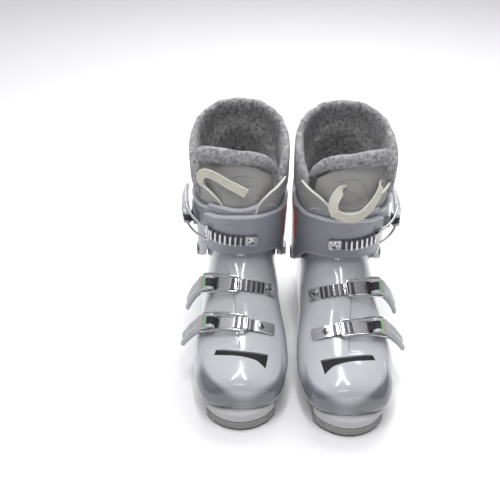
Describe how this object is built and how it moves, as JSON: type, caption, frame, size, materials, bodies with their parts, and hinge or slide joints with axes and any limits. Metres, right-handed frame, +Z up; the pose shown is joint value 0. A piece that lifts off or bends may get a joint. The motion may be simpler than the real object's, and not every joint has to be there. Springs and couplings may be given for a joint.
{
  "type": "alpine ski boots",
  "caption": "Alpine ski boots with an overlap lower shell, a hinged cuff, over-centre lever buckles with wire bails and ladders, and a padded liner with a tongue.",
  "frame": {"origin": "on the floor, under the middle of the box round the closed pair", "axes": "+Z up, toes towards -Y, the wearer's right boot on the -X side"},
  "size_m": [0.2366, 0.283, 0.2559],
  "materials": {
    "shell": "glossy pearl white",
    "cuff_shell": "satin pale lavender grey",
    "seal": "matte",
    "sole": "scuffed",
    "board": "matte",
    "felt": "felt",
    "fleece": "heather fleece",
    "vinyl": "soft vinyl",
    "elastic": "ribbed elastic",
    "patch": "gloss",
    "steel": "polished",
    "lever": "satin"
  },
  "bodies": {
    "right_boot": {"right_lower_shell": "shell", "right_toe_seal": "seal", "right_toe_sole": "sole", "right_heel_sole": "sole", "right_shell_screws": "steel", "right_boot_board": "board", "right_insole": "felt", "right_liner_foot": "fleece", "right_pivot_rivets": "steel", "right_toe_ladder": "steel", "right_instep_ladder": "steel", "right_toe_buckle_base": "steel", "right_instep_buckle_base": "steel", "right_shell_hinge_pins": "steel"},
    "right_leg": {"right_liner_collar": "fleece", "right_liner_tongue": "vinyl", "right_tongue_strap": "elastic", "right_cuff": "cuff_shell", "right_cuff_patch": "patch", "right_pivot_bushes": "steel", "right_cuff_ladder": "steel", "right_cuff_screw": "steel", "right_cuff_buckle_base": "steel", "right_cuff_hinge_pin": "steel"},
    "right_toe_lever": {"right_toe_lever": "lever"},
    "right_toe_bail": {"right_toe_bail": "steel"},
    "right_instep_lever": {"right_instep_lever": "lever"},
    "right_instep_bail": {"right_instep_bail": "steel"},
    "right_cuff_lever": {"right_cuff_lever": "lever"},
    "right_cuff_bail": {"right_cuff_bail": "steel"},
    "left_boot": {"left_lower_shell": "shell", "left_toe_seal": "seal", "left_toe_sole": "sole", "left_heel_sole": "sole", "left_shell_screws": "steel", "left_boot_board": "board", "left_insole": "felt", "left_liner_foot": "fleece", "left_pivot_rivets": "steel", "left_toe_ladder": "steel", "left_instep_ladder": "steel", "left_toe_buckle_base": "steel", "left_instep_buckle_base": "steel", "left_shell_hinge_pins": "steel"},
    "left_leg": {"left_liner_collar": "fleece", "left_liner_tongue": "vinyl", "left_tongue_strap": "elastic", "left_cuff": "cuff_shell", "left_cuff_patch": "patch", "left_pivot_bushes": "steel", "left_cuff_ladder": "steel", "left_cuff_screw": "steel", "left_cuff_buckle_base": "steel", "left_cuff_hinge_pin": "steel"},
    "left_toe_lever": {"left_toe_lever": "lever"},
    "left_toe_bail": {"left_toe_bail": "steel"},
    "left_instep_lever": {"left_instep_lever": "lever"},
    "left_instep_bail": {"left_instep_bail": "steel"},
    "left_cuff_lever": {"left_cuff_lever": "lever"},
    "left_cuff_bail": {"left_cuff_bail": "steel"}
  },
  "joints": [
    {"name": "right_cuff_flex", "type": "hinge", "parent": "right_boot", "child": "right_leg", "pos_m": [-0.0535, 0.05, 0.093], "axis": [1, 0, 0], "range_deg": [0, 7], "stiffness_Nm_per_rad": 150},
    {"name": "right_toe_lever_hinge", "type": "hinge", "parent": "right_boot", "child": "right_toe_lever", "pos_m": [-0.08339, -0.05945, 0.07774], "axis": [0.1045, 0.8861, 0.4515], "range_deg": [0, 110]},
    {"name": "right_toe_bail_hinge", "type": "hinge", "parent": "right_toe_lever", "child": "right_toe_bail", "pos_m": [-0.09377, -0.05577, 0.07292], "axis": [0.1045, 0.8861, 0.4515], "range_deg": [-110, 0]},
    {"name": "right_instep_lever_hinge", "type": "hinge", "parent": "right_boot", "child": "right_instep_lever", "pos_m": [-0.08511, -0.02472, 0.10048], "axis": [0.1045, 0.7618, 0.6393], "range_deg": [0, 110]},
    {"name": "right_instep_bail_hinge", "type": "hinge", "parent": "right_instep_lever", "child": "right_instep_bail", "pos_m": [-0.09386, -0.01917, 0.09529], "axis": [0.1045, 0.7618, 0.6393], "range_deg": [-110, 0]},
    {"name": "right_cuff_lever_hinge", "type": "hinge", "parent": "right_leg", "child": "right_cuff_lever", "pos_m": [-0.10916, 0.02138, 0.15469], "axis": [0.0698, -0.1043, 0.9921], "range_deg": [0, 110]},
    {"name": "right_cuff_bail_hinge", "type": "hinge", "parent": "right_cuff_lever", "child": "right_cuff_bail", "pos_m": [-0.11182, 0.03317, 0.15612], "axis": [0.0698, -0.1043, 0.9921], "range_deg": [-110, 0]},
    {"name": "boots_apart", "type": "slide", "parent": "right_boot", "child": "left_boot", "axis": [1, 0, 0], "range_m": [0, 0.15]},
    {"name": "left_cuff_flex", "type": "hinge", "parent": "left_boot", "child": "left_leg", "pos_m": [0.0535, 0.042, 0.093], "axis": [1, 0, 0], "range_deg": [0, 7], "stiffness_Nm_per_rad": 150},
    {"name": "left_toe_lever_hinge", "type": "hinge", "parent": "left_boot", "child": "left_toe_lever", "pos_m": [0.08339, -0.06745, 0.07774], "axis": [0.1045, -0.8861, -0.4515], "range_deg": [0, 110]},
    {"name": "left_toe_bail_hinge", "type": "hinge", "parent": "left_toe_lever", "child": "left_toe_bail", "pos_m": [0.09377, -0.06377, 0.07292], "axis": [0.1045, -0.8861, -0.4515], "range_deg": [-110, 0]},
    {"name": "left_instep_lever_hinge", "type": "hinge", "parent": "left_boot", "child": "left_instep_lever", "pos_m": [0.08511, -0.03272, 0.10048], "axis": [0.1045, -0.7618, -0.6393], "range_deg": [0, 110]},
    {"name": "left_instep_bail_hinge", "type": "hinge", "parent": "left_instep_lever", "child": "left_instep_bail", "pos_m": [0.09386, -0.02717, 0.09529], "axis": [0.1045, -0.7618, -0.6393], "range_deg": [-110, 0]},
    {"name": "left_cuff_lever_hinge", "type": "hinge", "parent": "left_leg", "child": "left_cuff_lever", "pos_m": [0.10916, 0.01338, 0.15469], "axis": [0.0698, 0.1043, -0.9921], "range_deg": [0, 110]},
    {"name": "left_cuff_bail_hinge", "type": "hinge", "parent": "left_cuff_lever", "child": "left_cuff_bail", "pos_m": [0.11182, 0.02517, 0.15612], "axis": [0.0698, 0.1043, -0.9921], "range_deg": [-110, 0]}
  ],
  "couplings": [
    {"joint": "right_toe_bail_hinge", "follows": "right_toe_lever_hinge", "ratio": -1},
    {"joint": "right_instep_bail_hinge", "follows": "right_instep_lever_hinge", "ratio": -1},
    {"joint": "right_cuff_bail_hinge", "follows": "right_cuff_lever_hinge", "ratio": -1},
    {"joint": "left_toe_bail_hinge", "follows": "left_toe_lever_hinge", "ratio": -1},
    {"joint": "left_instep_bail_hinge", "follows": "left_instep_lever_hinge", "ratio": -1},
    {"joint": "left_cuff_bail_hinge", "follows": "left_cuff_lever_hinge", "ratio": -1}
  ]
}
